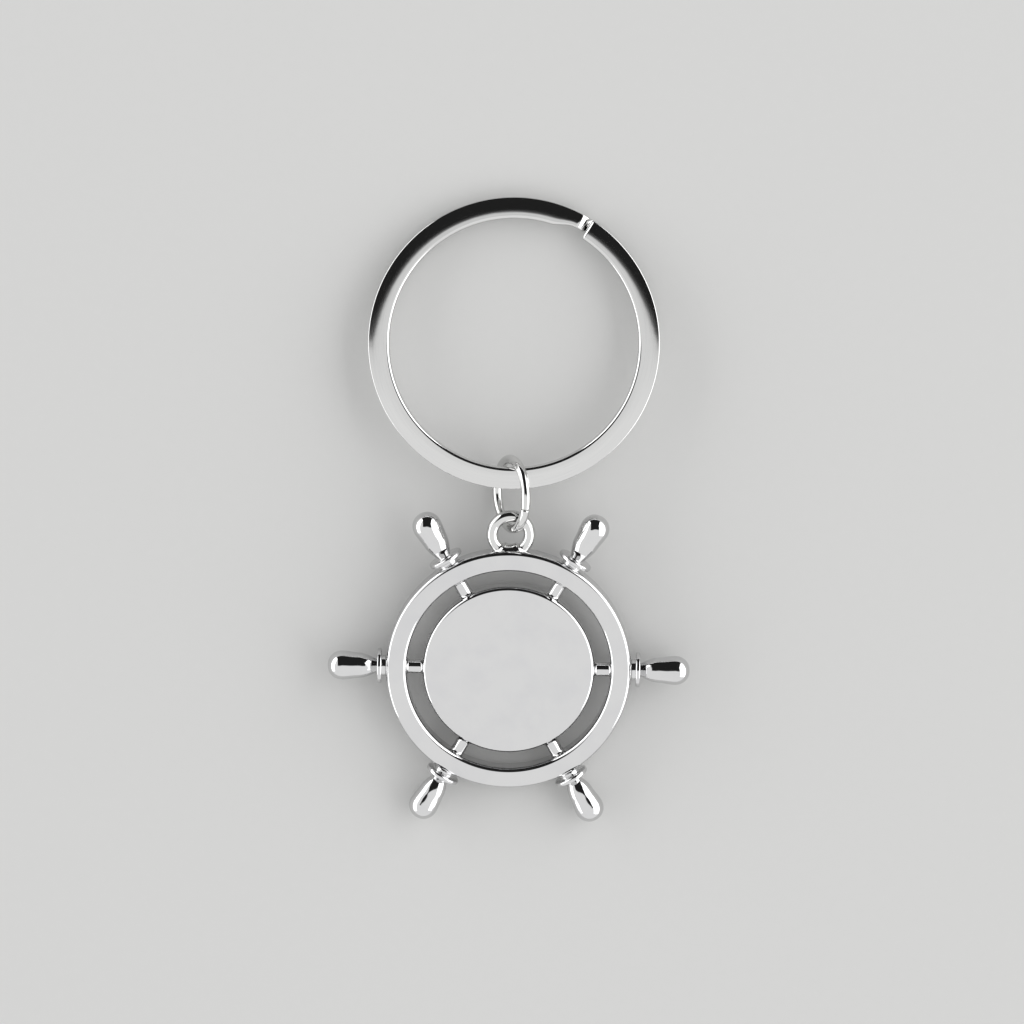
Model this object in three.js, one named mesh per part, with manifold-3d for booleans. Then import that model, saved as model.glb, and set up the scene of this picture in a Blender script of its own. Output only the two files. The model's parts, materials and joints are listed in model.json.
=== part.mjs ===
// Steering wheel keychain: a ship's wheel charm on a jump ring and a flat split ring.
// Millimetres, +Z up. The keychain lies on the plane z = 0 with its length along Y, the wheel
// towards -Y, and the origin at the middle of its footprint.
import * as THREE from "three";
import { mergeVertices } from "three/addons/utils/BufferGeometryUtils.js";
import Module from "manifold-3d";

const wasm = await Module();
wasm.setup();

// Shared values
const fitGap = 0.05; // clearance between pieces that are pushed or soldered together
const cutOverrun = 1; // how far a cutting tool runs past the face it opens
const { degToRad } = THREE.MathUtils;

// Split ring: flat wire wound in two turns that lie on each other
const splitRing = {
  outerDiameter: 32,
  width: 2.36,
  wireThickness: 0.92,
  turnGap: 0.1,
  innerEdgeRadius: 0.36,
  outerEdgeRadius: 0.22,
  flatWidth: 0.48, // flat part of each face, next to the inner edge
  outerThinning: 0.11, // how far each face falls away towards the outer edge
  endAngle: degToRad(58), // where the upper turn's blunt end lies, counted from +X
  joggleAngle: degToRad(15), // arc over which the wire drops from the upper turn to the lower
  endClearance: 0.3,
  steps: 132,
  edgeSteps: 3,
};

// Jump ring: round wire bent to a circle, its two ends closed butt to butt
const jumpRing = {
  innerDiameter: 6.6,
  wireDiameter: 1.05,
  seamGap: 0.12,
  seamAngle: degToRad(106), // from the end that holds the split ring, on the upper side
  lean: degToRad(24.5), // from upright, about the line through the chain
  eyeSlack: 0.18, // room between its wire and the eye's wire
  splitRingSlack: 0.34, // room between its wire and the split ring's inner wall
  wireSides: 12,
  ringSteps: 40,
};

// Eye: closed wire ring let into the outer wall of the rim
const eye = {
  innerDiameter: 2.78,
  wireDiameter: 1.32,
  sink: 1, // how deep the ring's outside lies in the rim
  wireSides: 12,
  ringSteps: 28,
};

// Rim of the wheel
const rim = {
  outerDiameter: 27.1,
  width: 2.25,
  thickness: 2.7,
  edgeRadius: 0.34,
  edgeSteps: 2,
  sides: 60,
};

// Hub disc: the blank medallion in the middle
const hub = {
  rimGap: 1.8, // open space between the disc's edge and the rim
  thickness: 2.3,
  edgeRadius: 0.3,
  edgeSteps: 2,
  sides: 60,
  boreDepth: 1.2,
};

// Spindle: spoke, neck, flange and grip turned in one piece
const spindle = {
  count: 6,
  spokeDiameter: 1.55,
  neckDiameter: 2.3,
  neckLength: 0.45,
  flangeDiameter: 3.9,
  flangeThickness: 0.5,
  flangeEdge: 0.12,
  gripLength: 5.5,
  gripDiameter: 3.24,
  domeHeight: 1.7,
  domeSquareness: 2.15, // 2 would make the end of the grip half an ellipsoid
  sides: 16,
  gripSteps: 9,
  domeSteps: 5,
};

// The grip's outline, as shares of its length up to the dome and of its largest radius
const gripOutlineShares = [
  [0, 0.45],
  [0.08, 0.53],
  [0.25, 0.71],
  [0.44, 0.84],
  [0.65, 0.895],
  [0.85, 0.965],
  [1, 1],
];

const chromeFinish = { color: 0xd6d7d9, roughness: 0.08, metalness: 1 };

// Sizes that follow from the ones above
const splitRingOuterRadius = splitRing.outerDiameter / 2;
const splitRingMidRadius = splitRingOuterRadius - splitRing.width / 2;
const splitRingHeight = 2 * splitRing.wireThickness + splitRing.turnGap;
const jumpWireRadius = jumpRing.wireDiameter / 2;
const jumpInnerRadius = jumpRing.innerDiameter / 2;
const jumpMidRadius = jumpInnerRadius + jumpWireRadius;
const eyeWireRadius = eye.wireDiameter / 2;
const eyeMidRadius = eye.innerDiameter / 2 + eyeWireRadius;
const rimOuterRadius = rim.outerDiameter / 2;
const rimInnerRadius = rimOuterRadius - rim.width;
const hubRadius = rimInnerRadius - hub.rimGap;
const spokeRadius = spindle.spokeDiameter / 2;
const flangeRadius = spindle.flangeDiameter / 2;
const gripRadius = spindle.gripDiameter / 2;

// Distances from the wheel's centre along a spindle
const spokeStart = hubRadius - hub.boreDepth + fitGap;
const neckStart = rimOuterRadius + fitGap;
const flangeStart = neckStart + spindle.neckLength;
const gripStart = flangeStart + spindle.flangeThickness;
const domeStart = gripStart + spindle.gripLength - spindle.domeHeight;

// Distances along the chain: eye above the wheel's centre, and the two pivots in the jump ring
const eyeCentre = rimOuterRadius - eye.sink + eyeMidRadius + eyeWireRadius;
const eyePivot = eyeCentre + eyeMidRadius;
const jumpCentreFromEyePivot = jumpInnerRadius - jumpRing.eyeSlack - eyeWireRadius;
const ringPivotFromJumpCentre = jumpInnerRadius - jumpRing.splitRingSlack - splitRing.width / 2;

// A closed mesh as a manifold solid, and back. Where a turned outline meets its axis, two corners
// of a triangle merge into one, and such triangles are left out.
function solidOf(geometry) {
  const bare = geometry.clone();
  bare.deleteAttribute("normal");
  bare.deleteAttribute("uv");
  const merged = mergeVertices(bare);
  const vertProperties = merged.getAttribute("position").array;
  const corners = merged.index.array;
  const kept = [];
  for (let i = 0; i < corners.length; i += 3) {
    const [a, b, c] = corners.slice(i, i + 3);
    if (a !== b && b !== c && c !== a) kept.push(a, b, c);
  }
  const triVerts = Uint32Array.from(kept);
  return new wasm.Manifold(new wasm.Mesh({ numProp: 3, vertProperties, triVerts }));
}

function geometryOf(solid) {
  const { vertProperties, triVerts } = solid.getMesh();
  const geometry = new THREE.BufferGeometry();
  geometry.setAttribute("position", new THREE.BufferAttribute(vertProperties, 3));
  geometry.setIndex(new THREE.BufferAttribute(triVerts, 1));
  geometry.computeVertexNormals();
  return geometry;
}

function cutAll(geometry, tools) {
  const body = tools.reduce((left, tool) => left.subtract(solidOf(tool)), solidOf(geometry));
  return geometryOf(body);
}

// A rectangle with rounded corners, centred on (x, 0)
function roundedRectangle(width, height, radius, x = 0) {
  const right = x + width / 2 - radius;
  const left = x - width / 2 + radius;
  const top = height / 2 - radius;
  const quarter = Math.PI / 2;
  const shape = new THREE.Shape();
  shape.absarc(right, -top, radius, -quarter, 0);
  shape.absarc(right, top, radius, 0, quarter);
  shape.absarc(left, top, radius, quarter, 2 * quarter);
  shape.absarc(left, -top, radius, 2 * quarter, 3 * quarter);
  shape.closePath();
  return shape;
}

// A ring turned about Z from a closed section that lies beside the axis
function turnedRing(section, cornerSteps, sides) {
  const outline = section.getPoints(cornerSteps);
  return new THREE.LatheGeometry(outline, sides).rotateX(Math.PI / 2);
}

// A ring of round wire about Z
function wireRing(midRadius, wireRadius, wireSides, ringSteps) {
  return new THREE.TorusGeometry(midRadius, wireRadius, wireSides, ringSteps);
}

// A round rod along +Y, between two distances from the origin
function rod(radius, from, to, sides) {
  const length = to - from;
  return new THREE.CylinderGeometry(radius, radius, length, sides).translate(0, from + length / 2, 0);
}

function spindleAngles() {
  return Array.from({ length: spindle.count }, (_, i) => (i * 2 * Math.PI) / spindle.count);
}

// Turns something that points along +Y so that it points along a spindle
function toSpindle(angle) {
  return angle - Math.PI / 2;
}

function radialBores(radius, from, to) {
  return spindleAngles().map((a) => rod(radius, from, to, spindle.sides).rotateZ(toSpindle(a)));
}

// Rim: a turned ring with six through bores and the eye's slot
function rimGeometry() {
  const middle = rimOuterRadius - rim.width / 2;
  const section = roundedRectangle(rim.width, rim.thickness, rim.edgeRadius, middle);
  const ring = turnedRing(section, rim.edgeSteps, rim.sides);
  const bores = radialBores(
    spokeRadius + fitGap,
    rimInnerRadius - cutOverrun,
    rimOuterRadius + cutOverrun,
  );
  const slot = wireRing(eyeMidRadius, eyeWireRadius + fitGap, eye.wireSides, eye.ringSteps);
  return cutAll(ring, [...bores, slot.translate(0, eyeCentre, 0)]);
}

// Hub disc: a turned disc with six blind bores in its edge
function hubGeometry() {
  const half = hub.thickness / 2;
  const face = hubRadius - hub.edgeRadius;
  const edge = new THREE.Path();
  edge.moveTo(0, -half);
  edge.lineTo(face, -half);
  edge.absarc(face, hub.edgeRadius - half, hub.edgeRadius, -Math.PI / 2, 0);
  edge.absarc(face, half - hub.edgeRadius, hub.edgeRadius, 0, Math.PI / 2);
  edge.lineTo(0, half);
  const disc = new THREE.LatheGeometry(edge.getPoints(hub.edgeSteps), hub.sides);
  const bores = radialBores(
    spokeRadius + fitGap,
    hubRadius - hub.boreDepth,
    hubRadius + cutOverrun,
  );
  return cutAll(disc.rotateX(Math.PI / 2), bores);
}

// Spindle: its outline runs from the axis at the hub to the axis at the tip of the grip
function spindleGeometry() {
  const chamfer = spindle.flangeEdge;
  const reach = domeStart - gripStart;
  const turned = [
    [0, spokeStart],
    [spokeRadius, spokeStart],
    [spokeRadius, neckStart],
    [spindle.neckDiameter / 2, neckStart],
    [spindle.neckDiameter / 2, flangeStart],
    [flangeRadius - chamfer, flangeStart],
    [flangeRadius, flangeStart + chamfer],
    [flangeRadius, gripStart - chamfer],
    [flangeRadius - chamfer, gripStart],
  ].map(([radius, distance]) => new THREE.Vector2(radius, distance));
  const grip = new THREE.SplineCurve(
    gripOutlineShares.map(
      ([along, out]) => new THREE.Vector2(out * gripRadius, gripStart + along * reach),
    ),
  );
  return new THREE.LatheGeometry(
    [...turned, ...grip.getPoints(spindle.gripSteps), ...domePoints()],
    spindle.sides,
  );
}

// The rounded end of the grip, a quarter of a squared-off ellipse from its edge to the axis
function domePoints() {
  const power = 2 / spindle.domeSquareness;
  return Array.from({ length: spindle.domeSteps }, (_, i) => {
    const last = i + 1 === spindle.domeSteps;
    const angle = (((i + 1) / spindle.domeSteps) * Math.PI) / 2;
    const out = last ? 0 : Math.cos(angle) ** power;
    const along = Math.sin(angle) ** power;
    return new THREE.Vector2(out * gripRadius, domeStart + along * spindle.domeHeight);
  });
}

function eyeGeometry() {
  return wireRing(eyeMidRadius, eyeWireRadius, eye.wireSides, eye.ringSteps);
}

// Jump ring in the YZ plane, with the saw cut between its ends
function jumpRingGeometry() {
  const ring = wireRing(jumpMidRadius, jumpWireRadius, jumpRing.wireSides, jumpRing.ringSteps);
  const reach = jumpRing.wireDiameter + cutOverrun;
  const cut = new THREE.BoxGeometry(reach, jumpRing.seamGap, reach);
  cut.translate(jumpMidRadius, 0, 0).rotateZ(jumpRing.seamAngle);
  return cutAll(ring, [cut]).rotateZ(Math.PI / 2).rotateY(Math.PI / 2);
}

// Height of the split ring's wire after a turn of so many radians from its upper end
function splitRingLevel(turned) {
  const lift = (splitRing.wireThickness + splitRing.turnGap) / 2;
  const fullTurn = 2 * Math.PI;
  const dropped = THREE.MathUtils.smoothstep(turned, fullTurn - splitRing.joggleAngle, fullTurn);
  return lift * (1 - 2 * dropped);
}

// Section of the split ring's wire, its inner edge towards -X. Winding has thinned its outer side.
function splitRingSection() {
  const { innerEdgeRadius, outerEdgeRadius, flatWidth, outerThinning } = splitRing;
  const quarter = Math.PI / 2;
  const inner = innerEdgeRadius - splitRing.width / 2;
  const outer = splitRing.width / 2 - outerEdgeRadius;
  const face = splitRing.wireThickness / 2;
  const outerFace = face - outerThinning;
  const bend = (inner + flatWidth + outer) / 2;
  const section = new THREE.Shape();
  section.absarc(outer, outerEdgeRadius - outerFace, outerEdgeRadius, -quarter, 0);
  section.absarc(outer, outerFace - outerEdgeRadius, outerEdgeRadius, 0, quarter);
  section.quadraticCurveTo(bend, face, inner + flatWidth, face);
  section.absarc(inner, face - innerEdgeRadius, innerEdgeRadius, quarter, 2 * quarter);
  section.absarc(inner, innerEdgeRadius - face, innerEdgeRadius, 2 * quarter, 3 * quarter);
  section.lineTo(inner + flatWidth, -face);
  section.quadraticCurveTo(bend, -face, outer, -outerFace);
  section.closePath();
  return section;
}

// Split ring: a straight bar of the wire's section, wound clockwise about Z
function splitRingGeometry() {
  const endClearance = splitRing.endClearance / splitRingMidRadius;
  const wound = 4 * Math.PI - splitRing.joggleAngle - endClearance;
  const bar = new THREE.ExtrudeGeometry(splitRingSection(), {
    depth: wound,
    steps: splitRing.steps,
    curveSegments: splitRing.edgeSteps,
    bevelEnabled: false,
  });
  const place = bar.getAttribute("position");
  for (let i = 0; i < place.count; i += 1) {
    const turned = place.getZ(i);
    const radius = splitRingMidRadius + place.getX(i);
    const angle = splitRing.endAngle - turned;
    const height = place.getY(i) + splitRingLevel(turned);
    place.setXYZ(i, radius * Math.cos(angle), radius * Math.sin(angle), height);
  }
  return geometryOf(solidOf(bar));
}

function piece(name, geometry) {
  const mesh = new THREE.Mesh(geometry, new THREE.MeshStandardMaterial(chromeFinish));
  mesh.name = name;
  return mesh;
}

// How the keychain lies. The jump ring stands on its edge, and the wheel and the split ring lean
// on it, one from each side, with their far ends on the surface.
const pivotHeight = jumpMidRadius * Math.cos(jumpRing.lean) + jumpWireRadius;

function wheelTilt() {
  const lowest = Math.max(...spindleAngles().map((angle) => -Math.sin(angle)));
  const supports = [
    [gripStart, flangeRadius],
    [domeStart, gripRadius],
  ];
  return Math.min(
    ...supports.map(([distance, radius]) =>
      Math.asin((pivotHeight - radius) / (eyePivot + distance * lowest)),
    ),
  );
}

function splitRingTilt() {
  const edge = splitRing.outerEdgeRadius;
  const reach = splitRingMidRadius + splitRingOuterRadius - edge;
  const drop = splitRingHeight / 2 - splitRing.outerThinning - edge;
  return Math.asin((pivotHeight - edge) / Math.hypot(reach, drop)) - Math.atan2(drop, reach);
}

function buildWheel() {
  const wheel = new THREE.Group();
  wheel.add(piece("rim", rimGeometry()), piece("hub_disc", hubGeometry()));
  const turned = spindleGeometry();
  spindleAngles().forEach((angle, i) => {
    const mesh = piece(`spindle_${i + 1}`, turned);
    mesh.rotation.z = toSpindle(angle);
    wheel.add(mesh);
  });
  const ring = piece("eye", eyeGeometry());
  ring.position.y = eyeCentre;
  wheel.add(ring);
  return wheel;
}

function buildKeychain() {
  const tilt = wheelTilt();
  const wheel = buildWheel();
  wheel.rotation.x = tilt;

  const link = new THREE.Group();
  link.name = "jump_ring_pivot";
  link.position.y = eyePivot;
  link.rotation.x = -tilt;
  const linkRing = piece("jump_ring", jumpRingGeometry());
  linkRing.position.y = jumpCentreFromEyePivot;
  linkRing.rotation.y = jumpRing.lean;
  link.add(linkRing);

  const keyRing = new THREE.Group();
  keyRing.name = "split_ring_pivot";
  keyRing.position.y = jumpCentreFromEyePivot + ringPivotFromJumpCentre;
  keyRing.rotation.x = -splitRingTilt();
  const coil = piece("split_ring", splitRingGeometry());
  coil.position.y = splitRingMidRadius;
  keyRing.add(coil);

  link.add(keyRing);
  wheel.add(link);
  const keychain = new THREE.Group();
  keychain.add(wheel);
  return keychain;
}

// Sets the group down on z = 0 with the middle of its footprint at the origin
function setDown(group) {
  group.updateMatrixWorld(true);
  const box = new THREE.Box3().setFromObject(group, true);
  const middle = box.getCenter(new THREE.Vector3());
  group.position.set(-middle.x, -middle.y, -box.min.z);
  return group;
}

export default setDown(buildKeychain());
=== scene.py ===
"""Ship's wheel keychain: finished surfaces, materials, light and view.

Every piece is a surface worked out on a grid, in metres, in the frame of the packed model. The
wheel, the jump ring and the split ring each have a local frame, whose place comes from the
packed record's joints and mounts.
"""

import json
from math import cos, pi, radians, sin, tan

import bpy
import numpy as np
from bpy.props import FloatProperty, FloatVectorProperty, IntProperty, PointerProperty
from mathutils import Matrix, Vector


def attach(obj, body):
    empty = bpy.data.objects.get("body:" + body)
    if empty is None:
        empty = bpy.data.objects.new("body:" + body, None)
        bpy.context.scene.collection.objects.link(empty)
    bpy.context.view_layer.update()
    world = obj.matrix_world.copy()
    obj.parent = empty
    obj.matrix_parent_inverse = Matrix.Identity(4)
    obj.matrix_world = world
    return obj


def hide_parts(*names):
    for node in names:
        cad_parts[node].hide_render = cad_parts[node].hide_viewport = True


bl_info = {
    "name": "Ship's wheel keychain",
    "version": (1, 0, 0),
    "blender": (4, 2, 0),
    "location": "3D View > Sidebar > Keychain",
    "description": "Builds a chromed ship's wheel charm on a jump ring and a split ring",
    "category": "Add Mesh",
}

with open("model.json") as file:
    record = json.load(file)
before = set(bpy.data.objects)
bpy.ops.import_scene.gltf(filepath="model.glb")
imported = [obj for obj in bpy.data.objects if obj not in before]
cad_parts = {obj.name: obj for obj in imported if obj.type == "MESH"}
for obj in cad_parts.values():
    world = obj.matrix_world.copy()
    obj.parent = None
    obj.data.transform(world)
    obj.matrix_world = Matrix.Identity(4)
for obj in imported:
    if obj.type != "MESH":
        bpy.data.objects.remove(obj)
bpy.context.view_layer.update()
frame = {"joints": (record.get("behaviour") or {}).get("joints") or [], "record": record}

MM = 0.001
IMAGE_SIZE = 1024  # pixels along each side of the photograph and of the render
SENSOR_WIDTH = 36.0  # Blender's own unit for a camera's sensor and lens, mm

# A straight stretch of this length beside each rounded edge keeps the flat face flat when shaded
EDGE_SUPPORT = 0.012 * MM
ARC_STEPS = 8  # steps over each quarter turn of a rounded edge
WIRE_SIDES = 40  # steps round the section of a round wire
EYE_STEPS = 192  # sections round the eye
JUMP_RING_STEP = 0.11 * MM  # from one section of the jump ring's wire to the next
SPLIT_RING_STEP = 0.34 * MM  # from one section of the split ring's wire to the next

# Numbers of the Mix node's sockets for colours, whose names its other sockets have too
MIX_FIRST, MIX_SECOND, MIX_RESULT = 6, 7, 2


# Colours


def linear(hex_colour):
    """An sRGB hex colour as linear red, green, blue, by the sRGB curve for each channel."""
    levels = np.array([int(hex_colour[i : i + 2], 16) for i in (1, 3, 5)]) / 255
    curved = np.where(levels <= 0.04045, levels / 12.92, ((levels + 0.055) / 1.055) ** 2.4)
    return tuple(float(level) for level in curved)


# Sizes and settings that a user would change


def length(name, description, millimetres):
    """A length property whose default is given in millimetres and held in metres."""
    return FloatProperty(
        name=name,
        description=description,
        default=millimetres * MM,
        min=0.0,
        precision=5,
        unit="LENGTH",
    )


def turn(name, description, degrees):
    """An angle property whose default is given in degrees and held in radians."""
    return FloatProperty(name=name, description=description, default=radians(degrees), unit="ROTATION")


def colour(name, description, hex_colour):
    """A linear colour property whose default is given as sRGB hex."""
    return FloatVectorProperty(
        name=name,
        description=description,
        default=linear(hex_colour),
        min=0.0,
        max=1.0,
        size=3,
        subtype="COLOR",
    )


class WheelSizes(bpy.types.PropertyGroup):
    """Rim and hub disc of the wheel"""

    rim_diameter: length("Rim diameter", "Outer diameter of the rim", 27.1)
    rim_width: length("Rim width", "From the rim's outer wall to its inner wall", 2.25)
    rim_thickness: length("Rim thickness", "Thickness of the rim", 2.7)
    rim_edge: length("Rim edge radius", "Rounding of the rim's edges", 0.5)
    hub_diameter: length("Hub diameter", "Diameter of the blank disc in the middle", 19.0)
    hub_thickness: length("Hub thickness", "Thickness of the disc", 2.3)
    hub_edge: length("Hub edge radius", "Rounding of the disc's edges", 0.46)
    sides: IntProperty(name="Sides", description="Steps round the wheel", default=224, min=24)


class SpindleSizes(bpy.types.PropertyGroup):
    """Spoke, neck, flange and grip, which are one piece"""

    count: IntProperty(name="Count", description="Number of spindles", default=6, min=1)
    spoke_diameter: length("Spoke diameter", "Diameter between the disc and the rim", 1.55)
    spoke_start: length("Spoke start", "Where the spoke begins inside the disc", 8.35)
    root_fillet: length("Root fillet", "Fillet where the spoke meets the disc and the rim", 0.3)
    neck_diameter: length("Neck diameter", "Diameter between the rim and the flange", 2.3)
    neck_fillet: length("Neck fillet", "Fillet where the neck meets the rim", 0.16)
    flange_start: length("Flange start", "Distance of the flange from the centre", 14.05)
    flange_diameter: length("Flange diameter", "Diameter of the flange", 3.9)
    flange_thickness: length("Flange thickness", "Thickness of the flange", 0.5)
    flange_edge: length("Flange edge radius", "Rounding of the flange's edges", 0.17)
    grip_length: length("Grip length", "From the flange to the tip", 5.5)
    grip_diameter: length("Grip diameter", "Largest diameter of the grip", 3.24)
    dome_height: length("Dome height", "Height of the grip's rounded end", 1.7)
    dome_squareness: FloatProperty(
        name="Dome squareness",
        description="Power of the dome's outline; 2 makes it half an ellipse",
        default=2.15,
        min=2.0,
    )
    sides: IntProperty(name="Sides", description="Steps round a spindle", default=64, min=12)


class LinkSizes(bpy.types.PropertyGroup):
    """Eye and jump ring"""

    eye_inner: length("Eye inner diameter", "Clear diameter of the eye", 2.8)
    eye_wire: length("Eye wire diameter", "Wire diameter of the eye", 1.3)
    eye_foot: length("Eye foot fillet", "Solder fillet where the eye meets the rim", 0.3)
    ring_inner: length("Jump ring inner diameter", "Clear diameter of the jump ring", 6.62)
    ring_wire: length("Jump ring wire diameter", "Wire diameter of the jump ring", 1.03)
    ring_lean: turn("Jump ring lean", "From upright, about the line through the chain", 24.5)
    eye_slack: length("Slack at the eye", "Room between the jump ring and the eye's wire", 0.2)
    seam_gap: length("Seam gap", "Gap between the two ends of the jump ring's wire", 0.12)
    seam_angle: turn("Seam angle", "Place of the seam, from the split ring's end", 106)
    end_bevel: length("End bevel", "Rounding of the cut wire ends", 0.05)


class SplitRingSizes(bpy.types.PropertyGroup):
    """Flat wire wound in two turns"""

    outer_diameter: length("Outer diameter", "Outer diameter of the split ring", 32.0)
    wire_width: length("Wire width", "Width of the flat wire", 2.36)
    wire_thickness: length("Wire thickness", "Thickness of the wire at its inner edge", 0.92)
    turn_gap: length("Turn gap", "Gap between the two turns", 0.1)
    inner_edge: length("Inner edge radius", "Rounding of the inner edge", 0.36)
    outer_edge: length("Outer edge radius", "Rounding of the outer edge", 0.14)
    flat_width: length("Flat width", "Flat part of each face, next to the inner edge", 0.26)
    outer_thinning: length("Outer thinning", "How far each face falls to the outer edge", 0.13)
    end_angle: turn("End angle", "Where the upper turn's blunt end lies", 58)
    joggle_angle: turn("Joggle angle", "Arc over which the wire drops to the lower turn", 4.8)
    joggle_lead: turn("Joggle lead", "From the foot of the drop to the blunt end", 0.3)
    pinch_angle: turn("Pinch angle", "Arc over which the wire narrows before the drop", 11)
    pinch: length("Pinch", "How far the inner edge is drawn outward at the drop", 0.66)
    lower_end: turn("Lower end", "Where the lower turn ends, before the upper turn's end", 16.2)
    end_bevel: length("End bevel", "Rounding of the cut wire ends", 0.12)


class FinishSettings(bpy.types.PropertyGroup):
    """Plating on the cast wheel and on the wire"""

    plate: colour("Plate", "Bright chrome plate", "#d5d5d5")
    plate_haze: colour("Plate haze", "Chrome plate where it is a little milky", "#d1d1d2")
    wire: colour("Wire", "Bright plated steel wire", "#d7d7d6")
    wire_haze: colour("Wire haze", "Plated wire along its drawing lines", "#d3d3d3")


class StageSettings(bpy.types.PropertyGroup):
    """Camera, floor and light"""

    distance: length("Camera distance", "From the camera to the point it looks at", 600)
    tilt: turn("Camera tilt", "How far the camera leans from straight above", 10)
    roll: turn("Camera roll", "Turn of the camera about its own axis", 0.95)
    pixels_per_mm: FloatProperty(
        name="Scale",
        description="Pixels of the image for each millimetre at the point looked at",
        default=9.078,
    )
    floor: colour("Floor", "Pale floor", "#d2d2d1")
    world_level: FloatProperty(
        name="World level",
        description="Brightness of the surroundings for matt surfaces",
        default=0.64,
        min=0.0,
    )
    box_level: FloatProperty(
        name="Light box level",
        description="Brightness of the two light boxes at the sides",
        default=1.7,
        min=0.0,
    )
    card_level: FloatProperty(
        name="Dark card level",
        description="Brightness of the dark card over the split ring's side",
        default=0.02,
        min=0.0,
    )


SETTINGS = {
    "wheel_sizes": WheelSizes,
    "spindle_sizes": SpindleSizes,
    "link_sizes": LinkSizes,
    "split_ring_sizes": SplitRingSizes,
    "finish_settings": FinishSettings,
    "stage_settings": StageSettings,
}


# Places, from the packed record


def joint_place(name):
    """Place of a joint of the packed model, as an array."""
    joint = next(joint for joint in frame["joints"] if joint["name"] == name)
    return np.array(joint["pos_m"])


def mount(name):
    """Place and outward direction of a mount of the packed model, as arrays."""
    found = next(mount for mount in frame["record"]["mounts"] if mount["name"] == name)
    return np.array(found["pos_m"]), np.array(found["axis"])


def local_axes(normal):
    """Rows x, y, z of a local frame: z along the normal, x along the world's X, y = z cross x."""
    z = normal / np.linalg.norm(normal)
    x = np.array([1.0, 0.0, 0.0])
    return np.array([x, np.cross(z, x), z])


def wheel_frame():
    """Centre of the wheel, halfway between the hub's faces, and its axes."""
    front, normal = mount("hub_front_face")
    back, _ = mount("hub_back_face")
    return (front + back) / 2, local_axes(normal)


def eye_frame(sizes):
    """Centre of the eye, a wire ring's mid radius below the joint in its wire, and its axes."""
    _, axes = wheel_frame()
    mid_radius = (sizes.eye_inner + sizes.eye_wire) / 2
    return joint_place("link_on_eye") - mid_radius * axes[1], axes


def jump_ring_frame(sizes):
    """Centre of the jump ring, and rows: along the chain, up the leaning ring, and its axis."""
    to_centre = sizes.ring_inner / 2 - sizes.eye_slack - sizes.eye_wire / 2
    along = np.array([0.0, 1.0, 0.0])
    up = np.array([sin(sizes.ring_lean), 0.0, cos(sizes.ring_lean)])
    return joint_place("link_on_eye") + to_centre * along, np.array([along, up, np.cross(along, up)])


def split_ring_frame(sizes):
    """Centre of the split ring, a mid radius beyond the joint in its wire, and its axes."""
    _, normal = mount("split_ring_face")
    axes = local_axes(normal)
    mid_radius = (sizes.outer_diameter - sizes.wire_width) / 2
    return joint_place("key_ring_on_link") + mid_radius * axes[1], axes


def put(points, place):
    """Points of a local frame, as points of the world: centre + x ex + y ey + z ez."""
    centre, axes = place
    return points @ axes + centre


# Outlines


def arc(centre, radius, start, end, steps=ARC_STEPS):
    """Points centre + radius (cos a, sin a), for angles a spaced evenly from start to end."""
    angles = np.linspace(start, end, steps + 1)
    return np.array(centre) + radius * np.stack([np.cos(angles), np.sin(angles)], axis=1)


def supported_arc(centre, radius, start, end):
    """An arc with one more point on the tangent before it and one after it."""
    points = arc(centre, radius, start, end)
    turned = np.sign(end - start) * EDGE_SUPPORT
    before = points[0] - turned * np.array([-sin(start), cos(start)])
    after = points[-1] + turned * np.array([-sin(end), cos(end)])
    return np.vstack([before, points, after])


def rounded_rectangle(middle, width, height, radius):
    """A rectangle centred on (middle, 0) with rounded corners, anticlockwise from below right."""
    right = middle + width / 2 - radius
    left = middle - width / 2 + radius
    top = height / 2 - radius
    quarter = pi / 2
    return np.vstack(
        [
            supported_arc((right, -top), radius, -quarter, 0),
            supported_arc((right, top), radius, 0, quarter),
            supported_arc((left, top), radius, quarter, 2 * quarter),
            supported_arc((left, -top), radius, 2 * quarter, 3 * quarter),
        ]
    )


def smooth_step(share):
    """3 s^2 - 2 s^3, with s kept between 0 and 1."""
    s = np.clip(share, 0, 1)
    return s * s * (3 - 2 * s)


def spline_through(points, steps):
    """A Catmull-Rom curve through the points: between two of them the cubic whose slope at each
    is half the step between its two neighbours."""
    ends = np.vstack([2 * points[0] - points[1], points, 2 * points[-1] - points[-2]])
    before, start, end, after = ends[:-3], ends[1:-2], ends[2:-1], ends[3:]
    t = np.linspace(0, 1, steps, endpoint=False)[None, :, None]
    b, s, e, a = (side[:, None, :] for side in (before, start, end, after))
    curve = s + t / 2 * (e - b + t * (2 * b - 5 * s + 4 * e - a + t * (3 * s - b - 3 * e + a)))
    return np.vstack([curve.reshape(-1, 2), points[-1:]])


# Surfaces on grids


def ring_faces(rows, columns, rows_closed, columns_closed):
    """Four-cornered faces of a grid of rows x columns points, as an array of corner numbers."""
    row = np.arange(rows if rows_closed else rows - 1)[:, None]
    column = np.arange(columns if columns_closed else columns - 1)[None, :]
    next_row = (row + 1) % rows
    next_column = (column + 1) % columns
    corners = [
        row * columns + column,
        row * columns + next_column,
        next_row * columns + next_column,
        next_row * columns + column,
    ]
    return np.stack(np.broadcast_arrays(*corners), axis=-1).reshape(-1, 4)


def end_caps(rows, columns):
    """The first and last rows of a grid closed round its columns, as two faces. The first runs
    against the grid's own faces and the last with them, so that all of them face one way."""
    first = list(range(columns))[::-1]
    last = list(range((rows - 1) * columns, rows * columns))
    return [first, last]


def signed_volume(points, quads):
    """The volume inside the faces: a . (b x c) / 6, summed over their triangles. It is negative
    if they point inward."""
    a, b, c, d = (points[quads[:, i]] for i in range(4))
    tetrahedra = np.cross(b, c) * a + np.cross(c, d) * a
    return tetrahedra.sum() / 6


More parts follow.
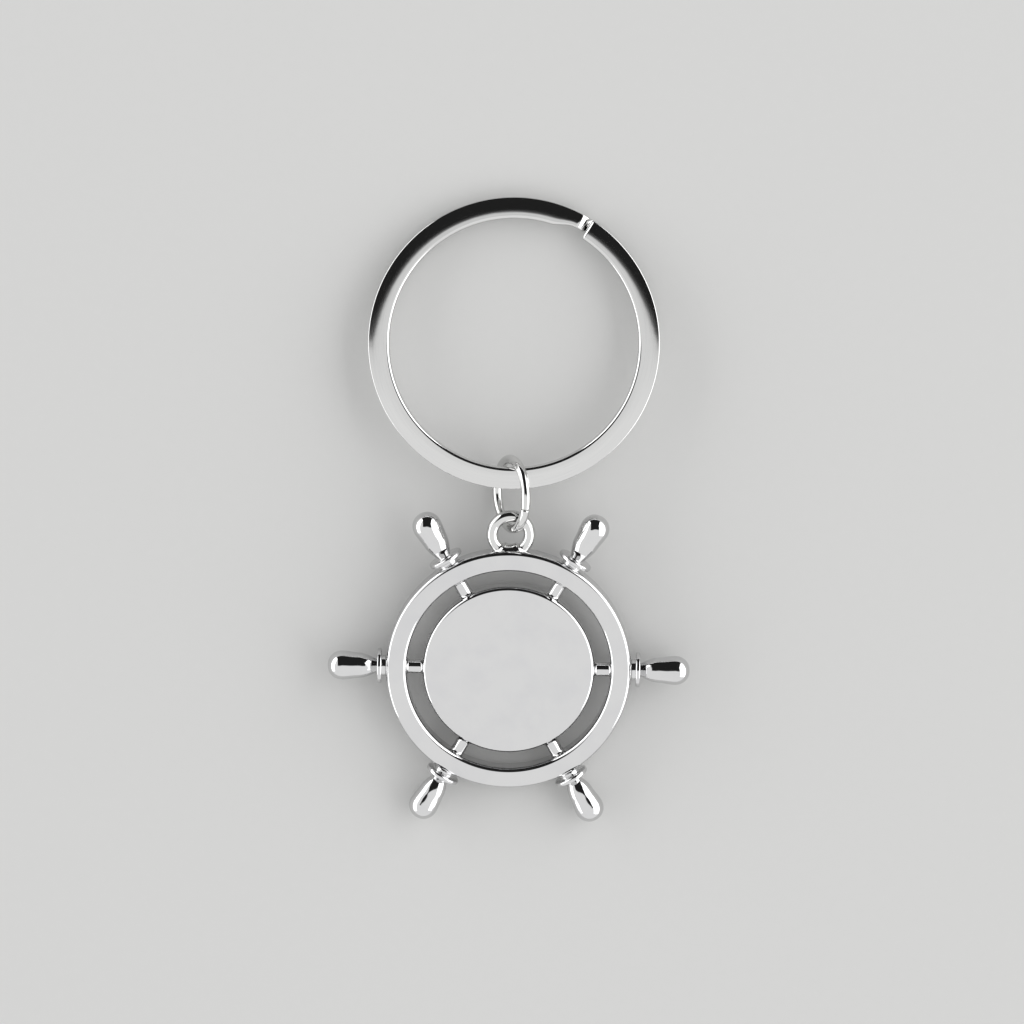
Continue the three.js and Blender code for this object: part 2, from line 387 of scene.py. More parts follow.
def add_object(name, data):
    """An object in the scene that holds a mesh, a light or a camera."""
    made = bpy.data.objects.new(name, data)
    bpy.context.scene.collection.objects.link(made)
    return made


def give_uv(mesh, name, uv):
    """A UV map on the mesh, from a pair of numbers for each of its points."""
    layer = mesh.uv_layers.new(name=name)
    corners = np.empty(len(mesh.loops), dtype=np.int32)
    mesh.loops.foreach_get("vertex_index", corners)
    layer.data.foreach_set("uv", uv[corners].astype(np.float32).ravel())


def mesh_piece(name, points, quads, caps=(), uv=None):
    """A smooth mesh object from points, four-cornered faces and end caps, with its faces turned
    to point outward. uv holds a pair in metres for each point."""
    turned = signed_volume(points - points.mean(axis=0), quads) < 0
    faces = [list(face) for face in quads.tolist()] + [list(cap) for cap in caps]
    if turned:
        faces = [face[::-1] for face in faces]
    mesh = bpy.data.meshes.new(name)
    mesh.from_pydata(points.tolist(), [], faces)
    mesh.polygons.foreach_set("use_smooth", np.ones(len(faces), dtype=bool))
    if uv is not None:
        give_uv(mesh, "along_and_around", uv)
    mesh.update()
    return add_object(name, mesh)


def revolved(outline, sides):
    """A point (r, h) of the outline goes round to (r cos a, r sin a, h)."""
    angles = np.linspace(0, 2 * pi, sides, endpoint=False)
    radius, height = outline[:, 0, None], outline[:, 1, None]
    round_z = [radius * np.cos(angles), radius * np.sin(angles), height + 0 * angles]
    return np.stack(round_z, axis=-1)


def turned_ring(section, sides):
    """Points and faces of a ring turned about Z from a closed section."""
    grid = revolved(section, sides)
    return grid.reshape(-1, 3), ring_faces(len(section), sides, True, True)


def turned_body(outline, sides):
    """Points, faces and caps of a body turned about Z. The outline's first and last points turn
    to two rings, and each of them is closed by one flat cap."""
    grid = revolved(outline, sides)
    faces = ring_faces(len(outline), sides, False, True)
    return grid.reshape(-1, 3), faces, end_caps(len(outline), sides)


def unit_circle(sides):
    """Points (cos a, sin a), with a spaced evenly round the circle."""
    angles = np.linspace(0, 2 * pi, sides, endpoint=False)
    return np.stack([np.cos(angles), np.sin(angles)], axis=1)


def round_path(angles):
    """For each angle a of a circle about Z: the way outward, (cos a, sin a, 0), and the way
    upward, (0, 0, 1)."""
    outward = np.stack([np.cos(angles), np.sin(angles), 0 * angles], axis=1)
    return outward, np.tile([0, 0, 1.0], (len(angles), 1))


def swept(centres, sideways, upward, sections):
    """The section carried along a path: centre + a sideways + b upward, for each (a, b) of the
    section at that point of the path. sections has one section, or one for each centre."""
    across = sections[..., 0, None] * sideways[:, None, :]
    up = sections[..., 1, None] * upward[:, None, :]
    return centres[:, None, :] + across + up


def swept_uv(along, sections):
    """For each grid point: the distance along the path, and the distance round the section."""
    steps = np.linalg.norm(np.diff(sections, axis=-2), axis=-1)
    around = np.concatenate([np.zeros(steps.shape[:-1] + (1,)), np.cumsum(steps, axis=-1)], axis=-1)
    around = np.broadcast_to(around, (len(along), around.shape[-1]))
    return np.stack([np.broadcast_to(along[:, None], around.shape), around], axis=-1).reshape(-1, 2)


# Materials


def add_node(tree, kind, settings=None, inputs=None, links=None):
    """Adds a node, sets its settings and input values, and links its inputs from other sockets."""
    node = tree.nodes.new(kind)
    for name, value in (settings or {}).items():
        setattr(node, name, value)
    for name, value in (inputs or {}).items():
        node.inputs[name].default_value = value
    for name, socket in (links or {}).items():
        tree.links.new(socket, node.inputs[name])
    return node


def new_material(name):
    """An empty node material, its node tree and its output node."""
    material = bpy.data.materials.new(name)
    material.use_nodes = True
    tree = material.node_tree
    tree.nodes.clear()
    return material, tree, add_node(tree, "ShaderNodeOutputMaterial")


def four(colour_value):
    """A colour with an alpha of 1."""
    return (*colour_value, 1.0)


def chromed_zinc(finish):
    """Bright chrome plate over polished, die-cast zinc alloy: a hard mirror with hardly any
    colour, a faint milky haze in patches some millimetres wide, the slow ripple that buffing
    leaves in soft zinc, and sparse hairlines from the polishing wheel."""
    material, tree, output = new_material("bright_chrome_on_polished_zinc")
    place = add_node(tree, "ShaderNodeTexCoord").outputs["Object"]

    haze_patch = 3.5 * MM
    haze = add_node(
        tree,
        "ShaderNodeTexNoise",
        inputs={"Scale": 1 / haze_patch, "Detail": 4.0, "Roughness": 0.55},
        links={"Vector": place},
    )
    milky = add_node(
        tree,
        "ShaderNodeMapRange",
        inputs={"From Min": 0.42, "From Max": 0.7},
        links={"Value": haze.outputs["Fac"]},
    )
    tint = add_node(
        tree,
        "ShaderNodeMix",
        {"data_type": "RGBA"},
        {MIX_FIRST: four(finish.plate), MIX_SECOND: four(finish.plate_haze)},
        {"Factor": milky.outputs["Result"]},
    )

    # Hairlines are really some hundredths of a millimetre wide and apart, and are drawn about
    # four times as coarse so that they show
    hairline_length = 3.0 * MM
    hairline_width = 0.09 * MM
    stretched = add_node(
        tree,
        "ShaderNodeMapping",
        inputs={
            "Rotation": (0, 0, radians(32)),
            "Scale": (1 / hairline_length, 1 / hairline_width, 1 / hairline_width),
        },
        links={"Vector": place},
    )
    hairlines = add_node(
        tree,
        "ShaderNodeTexNoise",
        inputs={"Scale": 1.0, "Detail": 2.0, "Roughness": 0.6},
        links={"Vector": stretched.outputs["Vector"]},
    )
    sparse = add_node(
        tree,
        "ShaderNodeMapRange",
        inputs={"From Min": 0.64, "From Max": 0.74},
        links={"Value": hairlines.outputs["Fac"]},
    )

    # Buffing ripple: a few micrometres deep over two millimetres
    ripple_width = 2.2 * MM
    ripple_depth = 0.0022 * MM
    hairline_depth = 0.0003 * MM
    ripple = add_node(
        tree,
        "ShaderNodeTexNoise",
        inputs={"Scale": 1 / ripple_width, "Detail": 1.0, "Roughness": 0.4},
        links={"Vector": place},
    )
    rippled = add_node(
        tree,
        "ShaderNodeBump",
        inputs={"Strength": 1.0, "Distance": ripple_depth},
        links={"Height": ripple.outputs["Fac"]},
    )
    scratched = add_node(
        tree,
        "ShaderNodeBump",
        {"invert": True},
        {"Strength": 1.0, "Distance": hairline_depth},
        {"Height": sparse.outputs["Result"], "Normal": rippled.outputs["Normal"]},
    )

    # Roughness: the haze's own, and a little more in the hairlines
    hairline_roughness = 0.05
    clean_roughness = add_node(
        tree,
        "ShaderNodeMapRange",
        inputs={"From Min": 0.35, "From Max": 0.75, "To Min": 0.035, "To Max": 0.075},
        links={"Value": haze.outputs["Fac"]},
    )
    roughness = add_node(
        tree,
        "ShaderNodeMath",
        {"operation": "MULTIPLY_ADD"},
        {1: hairline_roughness},
        {0: sparse.outputs["Result"], 2: clean_roughness.outputs["Result"]},
    )
    shader = add_node(
        tree,
        "ShaderNodeBsdfPrincipled",
        inputs={"Metallic": 1.0},
        links={
            "Base Color": tint.outputs[MIX_RESULT],
            "Roughness": roughness.outputs["Value"],
            "Normal": scratched.outputs["Normal"],
        },
    )
    tree.links.new(shader.outputs["BSDF"], output.inputs["Surface"])
    return material


def plated_wire(finish):
    """Nickel-chrome plate on drawn and rolled steel wire: a mirror like the casting's, but crossed
    along the wire by faint drawing lines, which stretch every highlight lengthwise."""
    material, tree, output = new_material("bright_plate_on_drawn_steel_wire")
    along = add_node(tree, "ShaderNodeUVMap", {"uv_map": "along_and_around"}).outputs["UV"]

    # Drawing lines are about a fiftieth of a millimetre apart, and are drawn five times as coarse
    line_length = 5.0 * MM
    line_width = 0.11 * MM
    stretched = add_node(
        tree,
        "ShaderNodeMapping",
        inputs={"Scale": (1 / line_length, 1 / line_width, 1)},
        links={"Vector": along},
    )
    lines = add_node(
        tree,
        "ShaderNodeTexNoise",
        inputs={"Scale": 1.0, "Detail": 3.0, "Roughness": 0.6},
        links={"Vector": stretched.outputs["Vector"]},
    )
    dull = add_node(
        tree,
        "ShaderNodeMapRange",
        inputs={"From Min": 0.45, "From Max": 0.75},
        links={"Value": lines.outputs["Fac"]},
    )
    tint = add_node(
        tree,
        "ShaderNodeMix",
        {"data_type": "RGBA"},
        {MIX_FIRST: four(finish.wire), MIX_SECOND: four(finish.wire_haze)},
        {"Factor": dull.outputs["Result"]},
    )

    # Rolling and bending leave slow waves, two micrometres deep, under the much finer lines
    place = add_node(tree, "ShaderNodeTexCoord").outputs["Object"]
    wave_width = 1.6 * MM
    wave_depth = 0.002 * MM
    line_depth = 0.00014 * MM
    waves = add_node(
        tree,
        "ShaderNodeTexNoise",
        inputs={"Scale": 1 / wave_width, "Detail": 1.0, "Roughness": 0.4},
        links={"Vector": place},
    )
    waved = add_node(
        tree,
        "ShaderNodeBump",
        inputs={"Strength": 1.0, "Distance": wave_depth},
        links={"Height": waves.outputs["Fac"]},
    )
    lined = add_node(
        tree,
        "ShaderNodeBump",
        inputs={"Strength": 1.0, "Distance": line_depth},
        links={"Height": lines.outputs["Fac"], "Normal": waved.outputs["Normal"]},
    )
    roughness = add_node(
        tree,
        "ShaderNodeMapRange",
        inputs={"From Min": 0.4, "From Max": 0.75, "To Min": 0.04, "To Max": 0.1},
        links={"Value": lines.outputs["Fac"]},
    )
    shader = add_node(
        tree,
        "ShaderNodeBsdfPrincipled",
        inputs={"Metallic": 1.0},
        links={
            "Base Color": tint.outputs[MIX_RESULT],
            "Roughness": roughness.outputs["Result"],
            "Normal": lined.outputs["Normal"],
        },
    )
    tree.links.new(shader.outputs["BSDF"], output.inputs["Surface"])
    return material


def paper_floor(stage):
    """Matt, pale grey paper: no gloss, and a grain only just seen."""
    material, tree, output = new_material("matt_paper_floor")
    place = add_node(tree, "ShaderNodeTexCoord").outputs["Object"]
    grain_width = 1.2 * MM
    grain_shade = 0.985
    grain = add_node(
        tree, "ShaderNodeTexNoise", inputs={"Scale": 1 / grain_width}, links={"Vector": place}
    )
    tint = add_node(
        tree,
        "ShaderNodeMix",
        {"data_type": "RGBA"},
        {MIX_FIRST: four(stage.floor), MIX_SECOND: four([grain_shade * part for part in stage.floor])},
        {"Factor": grain.outputs["Fac"]},
    )
    shader = add_node(
        tree,
        "ShaderNodeBsdfPrincipled",
        inputs={"Roughness": 0.9, "Specular IOR Level": 0.1},
        links={"Base Color": tint.outputs[MIX_RESULT]},
    )
    tree.links.new(shader.outputs["BSDF"], output.inputs["Surface"])
    return material


def dark_card(stage):
    """Black card, seen only in reflections: an even glow at the card's own low brightness. Its
    near edge fades out, as the edge of a card close to a lamp does. The map's first number runs
    from 0 at the near edge to 1 at the end of the fade."""
    material, tree, output = new_material("black_card")
    across = add_node(tree, "ShaderNodeUVMap", {"uv_map": "fade"}).outputs["UV"]
    share = add_node(tree, "ShaderNodeSeparateXYZ", links={"Vector": across}).outputs["X"]
    fade = add_node(tree, "ShaderNodeFloatCurve", links={"Value": share})
    cover_at_shares = ((0.27, 0.05), (0.51, 0.16), (0.59, 0.4), (0.64, 0.75), (0.71, 0.93))
    for place, cover in cover_at_shares:
        fade.mapping.curves[0].points.new(place, cover)
    fade.mapping.update()
    clear = add_node(tree, "ShaderNodeBsdfTransparent")
    glow = add_node(tree, "ShaderNodeEmission", inputs={"Strength": stage.card_level})
    faded = add_node(tree, "ShaderNodeMixShader", links={"Fac": fade.outputs["Value"]})
    tree.links.new(clear.outputs["BSDF"], faded.inputs[1])
    tree.links.new(glow.outputs["Emission"], faded.inputs[2])
    tree.links.new(faded.outputs["Shader"], output.inputs["Surface"])
    return material


def shared(name, make):
    """The material of that name, made from the finish settings when it is first asked for."""
    return bpy.data.materials.get(name) or make(bpy.context.scene.finish_settings)


def zinc_material():
    return shared("bright_chrome_on_polished_zinc", chromed_zinc)


def wire_material():
    return shared("bright_plate_on_drawn_steel_wire", plated_wire)


def finish_piece(piece, body, node, material):
    """Gives a piece its material, and puts it in the frame in a packed node's place."""
    piece.data.materials.append(material)
    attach(piece, body)
    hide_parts(node)


# Pieces


def make_rim(sizes):
    """A rounded rectangle turned about the wheel's axis."""
    middle = (sizes.rim_diameter - sizes.rim_width) / 2
    section = rounded_rectangle(middle, sizes.rim_width, sizes.rim_thickness, sizes.rim_edge)
    points, faces = turned_ring(section, sizes.sides)
    return mesh_piece("polished_rim", put(points, wheel_frame()), faces)


def make_hub_disc(sizes):
    """A flat disc with rounded edges, turned about the wheel's axis."""
    radius = sizes.hub_diameter / 2 - sizes.hub_edge
    height = sizes.hub_thickness / 2
    corner = height - sizes.hub_edge
    outline = np.vstack(
        [
            [(radius / 2, -height)],
            supported_arc((radius, -corner), sizes.hub_edge, -pi / 2, 0),
            supported_arc((radius, corner), sizes.hub_edge, 0, pi / 2),
            [(radius / 2, height)],
        ]
    )
    points, faces, caps = turned_body(outline, sizes.sides)
    return mesh_piece("polished_hub_disc", put(points, wheel_frame()), faces, caps)


def grip_outline(sizes):
    """A slender waist at the flange that swells to the dome: a curve through chosen shares of the
    grip's length and of its largest radius, then a quarter of the curve |r|^p + |h|^p = 1."""
    start = sizes.flange_start + sizes.flange_thickness
    reach = sizes.grip_length - sizes.dome_height
    radius = sizes.grip_diameter / 2
    shares = np.array(
        [(0, 0.45), (0.08, 0.53), (0.25, 0.71), (0.44, 0.84), (0.65, 0.895), (0.85, 0.965), (1, 1)]
    )
    length_shares, radius_shares = shares.T
    swell = np.stack([radius_shares * radius, start + length_shares * reach], axis=1)
    power = 2 / sizes.dome_squareness
    angles = np.linspace(0, pi / 2, 3 * ARC_STEPS)[1:]
    out = np.clip(np.cos(angles), 0, 1) ** power
    along = np.sin(angles) ** power
    dome = np.stack([out * radius, start + reach + along * sizes.dome_height], axis=1)
    dome[-1, 0] = EDGE_SUPPORT
    return np.vstack([spline_through(swell, ARC_STEPS), dome])


def spindle_outline(sizes, wheel):
    """The spindle's outline, from inside the disc to the tip. Quarter-round fillets spread each
    end of the spoke onto the disc and the rim, and the neck onto the rim."""
    spoke = sizes.spoke_diameter / 2
    neck = sizes.neck_diameter / 2
    flange = sizes.flange_diameter / 2
    hub = wheel.hub_diameter / 2
    rim_outside = wheel.rim_diameter / 2
    rim_inside = rim_outside - wheel.rim_width
    fillet = sizes.root_fillet
    collar = sizes.neck_fillet
    edge = sizes.flange_edge
    flange_end = sizes.flange_start + sizes.flange_thickness
    quarter = pi / 2
    return np.vstack(
        [
            [(spoke / 2, sizes.spoke_start), (spoke, sizes.spoke_start)],
            [(spoke + fillet, sizes.spoke_start + fillet)],
            supported_arc((spoke + fillet, hub + fillet), fillet, 3 * quarter, 2 * quarter),
            supported_arc((spoke + fillet, rim_inside - fillet), fillet, 2 * quarter, quarter),
            [(spoke, rim_inside + fillet), (neck, rim_outside - fillet)],
            supported_arc((neck + collar, rim_outside + collar), collar, 3 * quarter, 2 * quarter),
            [(neck, sizes.flange_start - EDGE_SUPPORT), (neck, sizes.flange_start)],
            supported_arc((flange - edge, sizes.flange_start + edge), edge, -quarter, 0),
            supported_arc((flange - edge, flange_end - edge), edge, 0, quarter),
            grip_outline(sizes),
        ]
    )


def make_spindle(number, sizes, wheel):
    """The outline turned about the line from the wheel's centre, which lies at an equal share of
    the circle for each spindle, counted from the wheel's x axis."""
    points, faces, caps = turned_body(spindle_outline(sizes, wheel), sizes.sides)
    angle = 2 * pi * number / sizes.count
    outward = np.array([cos(angle), sin(angle), 0])
    upward = np.array([0, 0, 1.0])
    turned = points @ np.array([np.cross(outward, upward), upward, outward])
    return mesh_piece(f"turned_spindle_{number + 1}", put(turned, wheel_frame()), faces, caps)


def make_eye(sizes, wheel):
    """A wire ring let into the rim. Where a leg nears the rim its radius grows by f (1 - d / f)^2,
    with d its distance from the rim and f the fillet, which draws the solder's foot."""
    mid_radius = (sizes.eye_inner + sizes.eye_wire) / 2
    foot = sizes.eye_foot
    centre, axes = eye_frame(sizes)
    wheel_centre, _ = wheel_frame()
    above = np.linalg.norm(centre - wheel_centre)
    angles = np.linspace(0, 2 * pi, EYE_STEPS, endpoint=False)
    outward, upward = round_path(angles)
    centres = mid_radius * outward
    from_wheel = np.hypot(centres[:, 0], centres[:, 1] + above)
    distance = np.clip(from_wheel - wheel.rim_diameter / 2, 0, foot)
    radii = sizes.eye_wire / 2 + foot * (1 - distance / foot) ** 2 * (from_wheel < above)
    sections = radii[:, None, None] * unit_circle(WIRE_SIDES)
    grid = swept(centres, outward, upward, sections)
    faces = ring_faces(len(angles), WIRE_SIDES, True, True)
    uv = swept_uv(mid_radius * angles, sections)
    return mesh_piece("soldered_eye", put(grid.reshape(-1, 3), (centre, axes)), faces, uv=uv)


def bevelled_ends(path, bevel, step, fine=(0, 0)):
    """Distances along a path from end to end, and for each how far its section is drawn in: by
    the bevel at both ends, and along a slope with softened corners to nothing further in. Between
    the two ends of the fine stretch the steps are a fifth as long."""
    near_shares = np.array([0, 0.08, 1.1, 1.25, 1.4])
    inset_shares = np.array([1, 0.92, 0.08, 0.015, 0])
    near = bevel * near_shares
    inset = bevel * inset_shares
    coarse_steps = np.arange(2 * bevel, path - 2 * bevel, step)
    middle = np.union1d(coarse_steps, np.arange(*fine, step / 5))
    along = np.concatenate([near, middle, path - near[::-1]])
    insets = np.concatenate([inset, 0 * middle, inset[::-1]])
    return along, insets


def make_jump_ring(sizes):
    """Round wire bent to a circle, from one side of its seam round to the other."""
    mid_radius = (sizes.ring_inner + sizes.ring_wire) / 2
    wire = sizes.ring_wire / 2
    path = 2 * pi * mid_radius - sizes.seam_gap
    along, insets = bevelled_ends(path, sizes.end_bevel, JUMP_RING_STEP)
    angles = sizes.seam_angle + (along + sizes.seam_gap / 2) / mid_radius
    outward, upward = round_path(angles)
    sections = (wire - insets)[:, None, None] * unit_circle(WIRE_SIDES)
    grid = swept(mid_radius * outward, outward, upward, sections)
    faces = ring_faces(len(angles), WIRE_SIDES, False, True)
    caps = end_caps(len(angles), WIRE_SIDES)
    points = put(grid.reshape(-1, 3), jump_ring_frame(sizes))
    return mesh_piece("plated_jump_ring", points, faces, caps, swept_uv(along, sections))


def crowned_section(sizes):
    """Section of the flat wire, anticlockwise, its inner edge on the left. Each face is flat by the
    inner edge and falls to the outer edge along a parabola, because winding thins the outside."""
    quarter = pi / 2
    inner = sizes.inner_edge - sizes.wire_width / 2
    outer = sizes.wire_width / 2 - sizes.outer_edge
    face = sizes.wire_thickness / 2
    outer_face = face - sizes.outer_thinning
    flat_end = inner + sizes.flat_width
    shares = np.linspace(0, 1, 2 * ARC_STEPS + 1)[1:-1]
    fall_x = flat_end + shares * (outer - flat_end)
    fall_y = face - sizes.outer_thinning * shares**2
    upper_fall = np.stack([fall_x, fall_y], axis=1)
    lower_fall = upper_fall * (1, -1)
    outer_middle = outer_face - sizes.outer_edge
    inner_middle = face - sizes.inner_edge
    return np.vstack(
        [
            arc((outer, -outer_middle), sizes.outer_edge, -quarter, 0),
            arc((outer, outer_middle), sizes.outer_edge, 0, quarter),
            upper_fall[::-1],
            [(flat_end, face)],
            supported_arc((inner, inner_middle), sizes.inner_edge, quarter, 2 * quarter),
            supported_arc((inner, -inner_middle), sizes.inner_edge, 2 * quarter, 3 * quarter),
            [(flat_end, -face)],
            lower_fall,
        ]
    )


def make_split_ring(sizes):
    """Flat wire wound clockwise from its upper end. It keeps the upper level for nearly a turn, then
    drops to the lower level with the square of the way gone, and ends short of where it began to
    narrow. Before the drop its inner edge is drawn outward, and beyond it, under the upper turn,
    the wire is full again."""
    mid_radius = (sizes.outer_diameter - sizes.wire_width) / 2
    lift = (sizes.wire_thickness + sizes.turn_gap) / 2
    full_turn = 2 * pi
    drop_start = full_turn - sizes.joggle_lead - sizes.joggle_angle
    pinch_start = drop_start - sizes.pinch_angle
    path = (2 * full_turn - sizes.lower_end) * mid_radius
    fine = (pinch_start * mid_radius, (full_turn + sizes.pinch_angle) * mid_radius)
    along, insets = bevelled_ends(path, sizes.end_bevel, SPLIT_RING_STEP, fine)
    turned = along / mid_radius
    drop_share = np.clip((turned - drop_start) / sizes.joggle_angle, 0, 1)
    level = lift * (1 - 2 * drop_share**2)
    narrowing = smooth_step((turned - pinch_start) / sizes.pinch_angle)
    widening = smooth_step((turned - full_turn) / sizes.pinch_angle)
    width_share = 1 - (narrowing - widening) * sizes.pinch / sizes.wire_width
    angles = sizes.end_angle - turned
    outward, upward = round_path(angles)
    section = crowned_section(sizes)
    reach = np.abs(section).max(axis=0)
    sections = section[None] * (1 - insets[:, None] / reach)[:, None, :]
    outer = sizes.wire_width / 2
    sections[..., 0] = outer - (outer - sections[..., 0]) * width_share[:, None]
    centres = mid_radius * outward + level[:, None] * upward
    grid = swept(centres, outward, upward, sections)
    faces = ring_faces(len(angles), len(section), False, True)
    caps = end_caps(len(angles), len(section))
    points = put(grid.reshape(-1, 3), split_ring_frame(sizes))
    return mesh_piece("plated_split_ring", points, faces, caps, swept_uv(along, sections))


# Stage

# Name, and in degrees: azimuth from +X, angle from straight above, half width, half height
LIGHT_BOXES = (
    ("right_light_box", 8, 63, 46, 26),
    ("left_light_box", 172, 73, 46, 17),
)


def make_floor(stage):
    """A square sheet on the plane z = 0."""
    half = 1.8
    corners = [(-half, -half, 0), (half, -half, 0), (half, half, 0), (-half, half, 0)]
    mesh = bpy.data.meshes.new("paper_floor")
    mesh.from_pydata(corners, [], [(0, 1, 2, 3)])
    mesh.materials.append(paper_floor(stage))
    add_object("paper_floor", mesh)


def make_dark_card(stage):
    """A dark card seen only in the metal, bent over the split ring's side. It is a patch of a great
    cylinder's inside, closed in at its sides: R (sin v, cos v sin u, cos v cos u), where u leans
    from straight above towards the split ring's side and v to the right. The near edge is an arch:
    its u falls with the square of the way in v from the highest place, as far as the feet."""
    radius = 3.2
    rows, columns = 121, 41
    left, right = radians(-32), radians(32)
    far, fade_width = radians(89), radians(15)
    half_faded, half_faded_share = radians(6.9), 0.6
    highest, foot, bend = radians(2), radians(18), 0.6
    v = np.linspace(left, right, columns)[None, :]
    top = half_faded - half_faded_share * fade_width
    near = top - bend * np.minimum(np.abs(v - highest), foot) ** 2
    u = near + np.linspace(0, 1, rows)[:, None] ** 2 * (far - near)
    parts = [np.sin(v), np.cos(v) * np.sin(u), np.cos(v) * np.cos(u)]
    points = radius * np.stack(np.broadcast_arrays(*parts), axis=-1).reshape(-1, 3)
    mesh = bpy.data.meshes.new("dark_card")
    mesh.from_pydata(points.tolist(), [], ring_faces(rows, columns, False, False).tolist())
    share = np.clip((u - near) / fade_width, 0, 1).ravel()
    give_uv(mesh, "fade", np.stack([share, share], axis=-1))
    mesh.materials.append(dark_card(stage))
    card = add_object("dark_card", mesh)
    card.visible_camera = False
    card.visible_diffuse = False
    card.visible_transmission = False
    card.visible_volume_scatter = False
    card.visible_shadow = False


def make_light_box(name, stage, azimuth, from_above, half_width, half_height):
    """A large soft light that faces the object, its place and size given as angles seen from the
    object. A flat light of area A gives brightness L with a power of L pi A."""
    distance = 2.6
    width = 2 * distance * tan(half_width)
    height = 2 * distance * tan(half_height)
    light = bpy.data.lights.new(name, "AREA")
    light.shape = "RECTANGLE"
    light.size = width
    light.size_y = height
    light.energy = stage.box_level * pi * width * height
    lamp = add_object(name, light)
    flat = sin(from_above)
    toward = Vector((flat * cos(azimuth), flat * sin(azimuth), cos(from_above)))
    lamp.location = distance * toward
    lamp.rotation_euler = toward.to_track_quat("Z", "Y").to_euler()
    lamp.visible_camera = False


def make_world(stage):
    """Even white surroundings: full white to the camera and in reflections, and the world level
    to matt surfaces."""
    world = bpy.data.worlds.new("white_studio")
    world.use_nodes = True
    bpy.context.scene.world = world
    tree = world.node_tree
    tree.nodes.clear()
    output = add_node(tree, "ShaderNodeOutputWorld")
    rays = add_node(tree, "ShaderNodeLightPath").outputs
    seen = add_node(
        tree,
        "ShaderNodeMath",
        {"operation": "MAXIMUM"},
        links={0: rays["Is Camera Ray"], 1: rays["Is Glossy Ray"]},
    )
    seen_through = add_node(
        tree,
        "ShaderNodeMath",
        {"operation": "MAXIMUM"},
        links={0: seen.outputs["Value"], 1: rays["Is Transmission Ray"]},
    )
    strength = add_node(
        tree,
        "ShaderNodeMapRange",
        inputs={"To Min": stage.world_level},
        links={"Value": seen_through.outputs["Value"]},
    )
    white = add_node(
        tree,
        "ShaderNodeBackground",
        inputs={"Color": (1, 1, 1, 1)},
        links={"Strength": strength.outputs["Result"]},
    )
    tree.links.new(white.outputs["Background"], output.inputs["Surface"])


def make_camera(stage):
    """A long lens nearly straight above, leaning towards the split ring's side. It is moved in its
    own plane by the few pixels that the photograph's middle lies off the point looked at."""
    target = Vector((0, 0, 3 * MM))
    target_pixel = (511.18, 513.85)
    half_image = IMAGE_SIZE / 2
    across = (half_image - target_pixel[0]) / stage.pixels_per_mm * MM
    upward = (target_pixel[1] - half_image) / stage.pixels_per_mm * MM
    facing = Matrix.Rotation(-stage.tilt, 3, "X") @ Matrix.Rotation(stage.roll, 3, "Z")
    data = bpy.data.cameras.new("camera")
    data.sensor_width = SENSOR_WIDTH
    data.lens = stage.distance / MM * SENSOR_WIDTH * stage.pixels_per_mm / IMAGE_SIZE
    data.clip_start = 0.01
    data.clip_end = 20.0
    camera = add_object("camera", data)
    camera.location = target + facing @ Vector((across, upward, stage.distance))
    camera.rotation_euler = facing.to_euler()
    bpy.context.scene.camera = camera


# Operators


class MakeRim(bpy.types.Operator):
    """Build the rim of the wheel"""

    bl_idname = "keychain.make_rim"
    bl_label = "Rim"

    def execute(self, context):
        rim = make_rim(context.scene.wheel_sizes)
        finish_piece(rim, "wheel", "rim", zinc_material())
        return {"FINISHED"}


class MakeHubDisc(bpy.types.Operator):
    """Build the blank disc in the middle of the wheel"""

    bl_idname = "keychain.make_hub_disc"
    bl_label = "Hub disc"

    def execute(self, context):
        disc = make_hub_disc(context.scene.wheel_sizes)
        finish_piece(disc, "wheel", "hub_disc", zinc_material())
        return {"FINISHED"}


class MakeSpindles(bpy.types.Operator):
    """Build the spindles, each a spoke with its neck, flange and grip"""

    bl_idname = "keychain.make_spindles"
    bl_label = "Spindles"

    def execute(self, context):
        sizes = context.scene.spindle_sizes
        for number in range(sizes.count):
            spindle = make_spindle(number, sizes, context.scene.wheel_sizes)
            node = f"spindle_{number + 1}"
            finish_piece(spindle, "wheel", node, zinc_material())
        return {"FINISHED"}


class MakeEye(bpy.types.Operator):
    """Build the eye on the rim"""

    bl_idname = "keychain.make_eye"
    bl_label = "Eye"

    def execute(self, context):
        eye = make_eye(context.scene.link_sizes, context.scene.wheel_sizes)
        finish_piece(eye, "wheel", "eye", wire_material())
        return {"FINISHED"}


class MakeJumpRing(bpy.types.Operator):
    """Build the jump ring between the eye and the split ring"""

    bl_idname = "keychain.make_jump_ring"
    bl_label = "Jump ring"

    def execute(self, context):
        link = make_jump_ring(context.scene.link_sizes)
        finish_piece(link, "link", "jump_ring", wire_material())
        return {"FINISHED"}


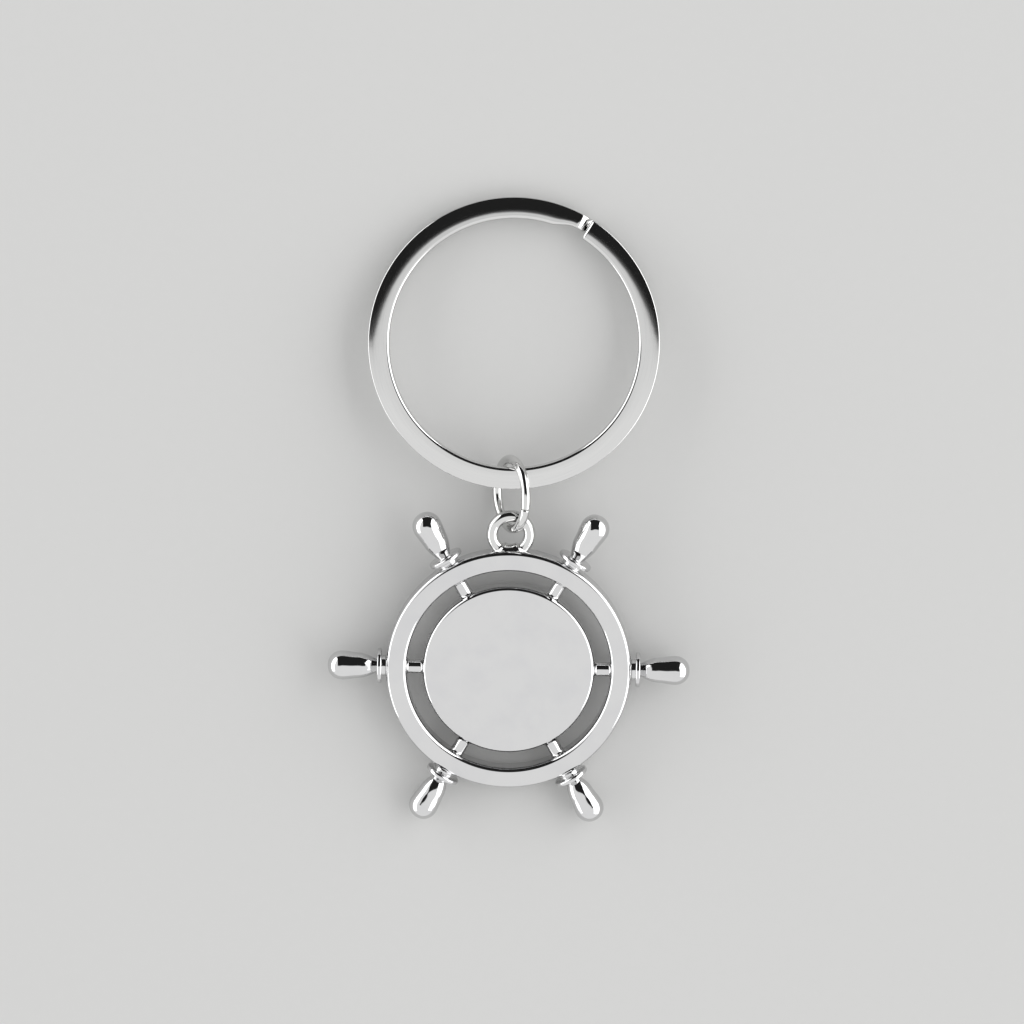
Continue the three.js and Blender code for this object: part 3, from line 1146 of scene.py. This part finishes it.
class MakeSplitRing(bpy.types.Operator):
    """Build the flat split ring that holds the keys"""

    bl_idname = "keychain.make_split_ring"
    bl_label = "Split ring"

    def execute(self, context):
        ring = make_split_ring(context.scene.split_ring_sizes)
        finish_piece(ring, "key_ring", "split_ring", wire_material())
        return {"FINISHED"}


class MakeStage(bpy.types.Operator):
    """Set up the floor, the light and the camera"""

    bl_idname = "keychain.make_stage"
    bl_label = "Stage"

    def execute(self, context):
        stage = context.scene.stage_settings
        context.scene.view_settings.view_transform = "Standard"
        make_floor(stage)
        make_dark_card(stage)
        for name, *angles in LIGHT_BOXES:
            make_light_box(name, stage, *(radians(angle) for angle in angles))
        make_world(stage)
        make_camera(stage)
        return {"FINISHED"}


class KeychainPanel(bpy.types.Panel):
    """Lists the operators that build the keychain"""

    bl_idname = "VIEW3D_PT_keychain"
    bl_label = "Ship's wheel keychain"
    bl_space_type = "VIEW_3D"
    bl_region_type = "UI"
    bl_category = "Keychain"

    def draw(self, context):
        for operator in OPERATORS:
            self.layout.operator(operator.bl_idname)
        for name, group in SETTINGS.items():
            box = self.layout.box()
            box.label(text=group.__doc__)
            for setting in group.__annotations__:
                box.prop(getattr(context.scene, name), setting)


OPERATORS = (MakeRim, MakeHubDisc, MakeSpindles, MakeEye, MakeJumpRing, MakeSplitRing, MakeStage)
CLASSES = (*SETTINGS.values(), *OPERATORS, KeychainPanel)


def register():
    for item in CLASSES:
        bpy.utils.register_class(item)
    for name, group in SETTINGS.items():
        setattr(bpy.types.Scene, name, PointerProperty(type=group))


def unregister():
    for name in SETTINGS:
        delattr(bpy.types.Scene, name)
    for item in reversed(CLASSES):
        bpy.utils.unregister_class(item)


def main():
    register()
    bpy.ops.keychain.make_rim()
    bpy.ops.keychain.make_hub_disc()
    bpy.ops.keychain.make_spindles()
    bpy.ops.keychain.make_eye()
    bpy.ops.keychain.make_jump_ring()
    bpy.ops.keychain.make_split_ring()
    bpy.ops.keychain.make_stage()


if __name__ == "__main__":
    main()
